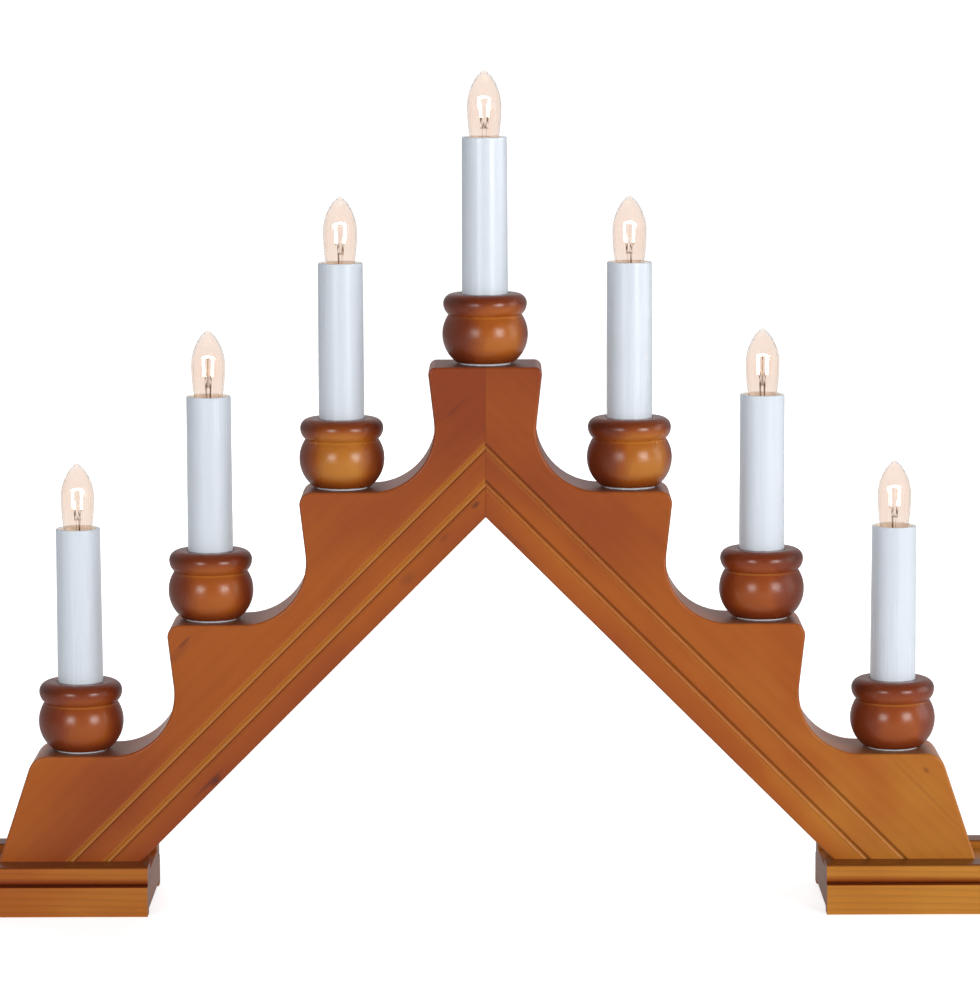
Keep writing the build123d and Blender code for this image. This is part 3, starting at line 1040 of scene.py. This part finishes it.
class ARCH_OT_finish_bases(Operator):
    """Stain and varnish the two bases"""

    bl_idname = "candle_arch.finish_bases"
    bl_label = "Finish Bases"

    def execute(self, context):
        for node, gold_share in base_gold_shares.items():
            paint(node, base_wood(f"{node}_wood", node, gold_share, context.scene.arch_wood))
        return {"FINISHED"}


class ARCH_OT_drive_screws(Operator):
    """Make the screws under the bases, with their recesses and threads"""

    bl_idname = "candle_arch.drive_screws"
    bl_label = "Drive Screws"

    def execute(self, context):
        y = (screw_low.y + screw_high.y) / 2
        outer = screw_high.x - screw_head_radius
        whole = bmesh.new()
        for side in (-1, 1):
            for x in (outer, outer - screw_spacing):
                for bm in (screw_head(), screw_shank()):
                    bm.transform(Matrix.Translation((side * x, y, screw_low.z)))
                    add_mesh(whole, bm)
        zinc = metal("zinc_steel", zinc_colours, 0.22)
        new_piece("screws", whole, [zinc], "arch", "base_screws")
        return {"FINISHED"}


class ARCH_OT_finish_cups(Operator):
    """Stain and varnish the turned cups, each a little differently"""

    bl_idname = "candle_arch.finish_cups"
    bl_label = "Finish Cups"

    def execute(self, context):
        wood = context.scene.arch_wood
        for number, gold_share, degrees in zip(light_numbers, cup_gold_shares, cup_grain_degrees):
            node = f"cup_{number}"
            paint(node, cup_wood(f"{node}_wood", node, gold_share, degrees, wood))
        return {"FINISHED"}


class ARCH_OT_fit_tubes(Operator):
    """Finish the candle tubes, the lamp holders in them and the wires behind"""

    bl_idname = "candle_arch.fit_tubes"
    bl_label = "Fit Tubes"

    def execute(self, context):
        candle = context.scene.candle_parts
        holder = holder_plastic()
        brass = metal("brass", brass_colours, 0.2)
        wires = wire_insulation()
        for number in light_numbers:
            node = f"candle_tube_{number}"
            paint(node, tube_plastic(f"{node}_plastic", node, candle))
            paint(f"lamp_holder_{number}", holder)
        for node in ("holder_shells", "holder_contacts"):
            paint(node, brass)
        for node in ("left_wiring", "right_wiring"):
            paint(node, wires)
        return {"FINISHED"}


class ARCH_OT_fit_bulbs(Operator):
    """Make the lit bulbs: fluted glass, threaded cap, filament and solder contact"""

    bl_idname = "candle_arch.fit_bulbs"
    bl_label = "Fit Bulbs"

    def execute(self, context):
        candle = context.scene.candle_parts
        glass = [bulb_glass(candle)]
        mount = [stem_glass(), metal("lead_wire", lead_colours, 0.3), lit_filament(candle)]
        cap = [metal("nickel_brass", nickel_colours, 0.2), cap_insulator()]
        solder = metal("solder", solder_colours, 0.3)
        for number in light_numbers:
            made = (
                ("glass", fluted_glass(candle), glass, "bulb_glass", f"bulb_glass_{number}"),
                ("filament", filament_mount(), mount, "filament", f"bulb_glass_{number}"),
                ("cap", threaded_cap(), cap, "nickel_brass", f"bulb_cap_{number}"),
            )
            for part, bm, finishes, slot, seat in made:
                bm.transform(Matrix.Translation(axis_of(seat)))
                node = f"bulb_{part}_{number}"
                new_piece(f"{part}_{number}", bm, finishes, f"bulb_{number}", node)
            paint(f"bulb_contact_{number}", solder)
        return {"FINISHED"}


def softbox(name, place, size, power, is_mirrored):
    """Large soft lamp that faces the arch, unseen itself, with or without its reflection."""
    data = bpy.data.lights.new(name, "AREA")
    data.shape = "RECTANGLE"
    data.size, data.size_y = size
    data.energy = power
    lamp = bpy.data.objects.new(name, data)
    lamp.visible_camera = False
    lamp.visible_transmission = False
    lamp.visible_glossy = is_mirrored
    lamp.location = place
    lamp.rotation_euler = (Vector(lamp_aim) - Vector(place)).to_track_quat("-Z", "Y").to_euler()
    bpy.context.scene.collection.objects.link(lamp)


def rays(field, *kinds):
    """Masks of the light paths of some kinds."""
    return [field.node("ShaderNodeLightPath", None, None, f"Is {kind} Ray") for kind in kinds]


def floor_finish(stage):
    """Pale floor that keeps the arch's shadow, white to the camera and through glass."""
    material, place = new_finish("floor", {
        "Base Color": opaque(stage.floor),
        "Roughness": 0.9,
        "Specular IOR Level": 0.0,
        "Emission Strength": 1.0,
    })
    camera_ray, glossy_ray, transmission_ray = rays(place, "Camera", "Glossy", "Transmission")
    far = place.length().step(floor_near, floor_far)
    glow = camera_ray * (far * 0.3 + 0.62) + glossy_ray * 0.1
    feed(material, {"Emission Color": glow.mix(black, white)})
    tree = material.node_tree
    surface = Field(tree, tree.nodes["Principled BSDF"].outputs[0])
    plain = place.node("ShaderNodeEmission", None, {"Color": opaque(white)})
    seen = place.node("ShaderNodeMixShader", None, {0: transmission_ray, 1: surface, 2: plain})
    tree.links.new(seen.socket, tree.nodes["Material Output"].inputs["Surface"])
    return material


def lay_floor(stage):
    """Wide flat floor under the arch."""
    bm = bmesh.new()
    bmesh.ops.create_grid(
        bm, x_segments=floor_segments, y_segments=floor_segments, size=floor_half_size)
    mesh = bpy.data.meshes.new("floor")
    bm.to_mesh(mesh)
    bm.free()
    mesh.materials.append(floor_finish(stage))
    floor = bpy.data.objects.new("floor", mesh)
    bpy.context.scene.collection.objects.link(floor)


def light_world(stage):
    """White surroundings to the camera and through glass, even light on the rest."""
    world = bpy.data.worlds.new("studio")
    world.use_nodes = True
    tree = Field(world.node_tree)
    camera_ray, glossy_ray, transmission_ray = rays(tree, "Camera", "Glossy", "Transmission")
    seen = camera_ray.math("MAXIMUM", transmission_ray)
    direction = tree.node("ShaderNodeTexCoord", None, None, "Generated")
    mirrored = direction.part("Y").step(-0.5, 0.6) * 0.45 + 0.08
    unseen = glossy_ray * mirrored + (1 - glossy_ray) * stage.ambient
    strength = seen + (1 - seen) * unseen
    tint = seen.mix(ambient_tint, white)
    background = world.node_tree.nodes["Background"]
    world.node_tree.links.new(tint.socket, background.inputs["Color"])
    world.node_tree.links.new(strength.socket, background.inputs["Strength"])
    bpy.context.scene.world = world


def place_camera(stage):
    """Camera where the photo was taken from."""
    data = bpy.data.cameras.new("camera")
    data.lens = stage.focal_pixels / photo_long_side * data.sensor_width
    camera = bpy.data.objects.new("camera", data)
    turn = (
        Matrix.Rotation(stage.yaw, 4, "Z")
        @ Matrix.Rotation(math.radians(90) - stage.pitch, 4, "X")
        @ Matrix.Rotation(-stage.roll, 4, "Z")
    )
    camera.matrix_world = Matrix.Translation(stage.camera_place) @ turn
    bpy.context.scene.collection.objects.link(camera)
    bpy.context.scene.camera = camera


class ARCH_OT_set_stage(Operator):
    """Set up the floor, lamps, surroundings and camera"""

    bl_idname = "candle_arch.set_stage"
    bl_label = "Set Stage"

    def execute(self, context):
        stage = context.scene.photo_stage
        context.scene.view_settings.view_transform = "Standard"
        for name, (place, size, power, is_mirrored) in lamps.items():
            softbox(name, place, size, getattr(stage, power), is_mirrored)
        lay_floor(stage)
        light_world(stage)
        place_camera(stage)
        return {"FINISHED"}


class ARCH_PT_panel(Panel):
    """Sidebar panel of the candle arch"""

    bl_label = "Candle Arch"
    bl_space_type = "VIEW_3D"
    bl_region_type = "UI"
    bl_category = "Candle Arch"

    def draw(self, context):
        for owner in (context.scene.arch_wood, context.scene.candle_parts, context.scene.photo_stage):
            box = self.layout.box()
            for name in owner.__annotations__:
                box.prop(owner, name)
        for operator in operators:
            self.layout.operator(operator.bl_idname)


groups = {"arch_wood": ArchWood, "candle_parts": CandleParts, "photo_stage": PhotoStage}
operators = (
    ARCH_OT_finish_arms,
    ARCH_OT_finish_bases,
    ARCH_OT_drive_screws,
    ARCH_OT_finish_cups,
    ARCH_OT_fit_tubes,
    ARCH_OT_fit_bulbs,
    ARCH_OT_set_stage,
)


def register():
    for name, group in groups.items():
        bpy.utils.register_class(group)
        setattr(bpy.types.Scene, name, PointerProperty(type=group))
    for cls in (*operators, ARCH_PT_panel):
        bpy.utils.register_class(cls)


def unregister():
    for cls in (ARCH_PT_panel, *reversed(operators)):
        bpy.utils.unregister_class(cls)
    for name, group in groups.items():
        delattr(bpy.types.Scene, name)
        bpy.utils.unregister_class(group)


def main():
    register()
    bpy.ops.candle_arch.finish_arms()
    bpy.ops.candle_arch.finish_bases()
    bpy.ops.candle_arch.drive_screws()
    bpy.ops.candle_arch.finish_cups()
    bpy.ops.candle_arch.fit_tubes()
    bpy.ops.candle_arch.fit_bulbs()
    bpy.ops.candle_arch.set_stage()


if __name__ == "__main__":
    main()
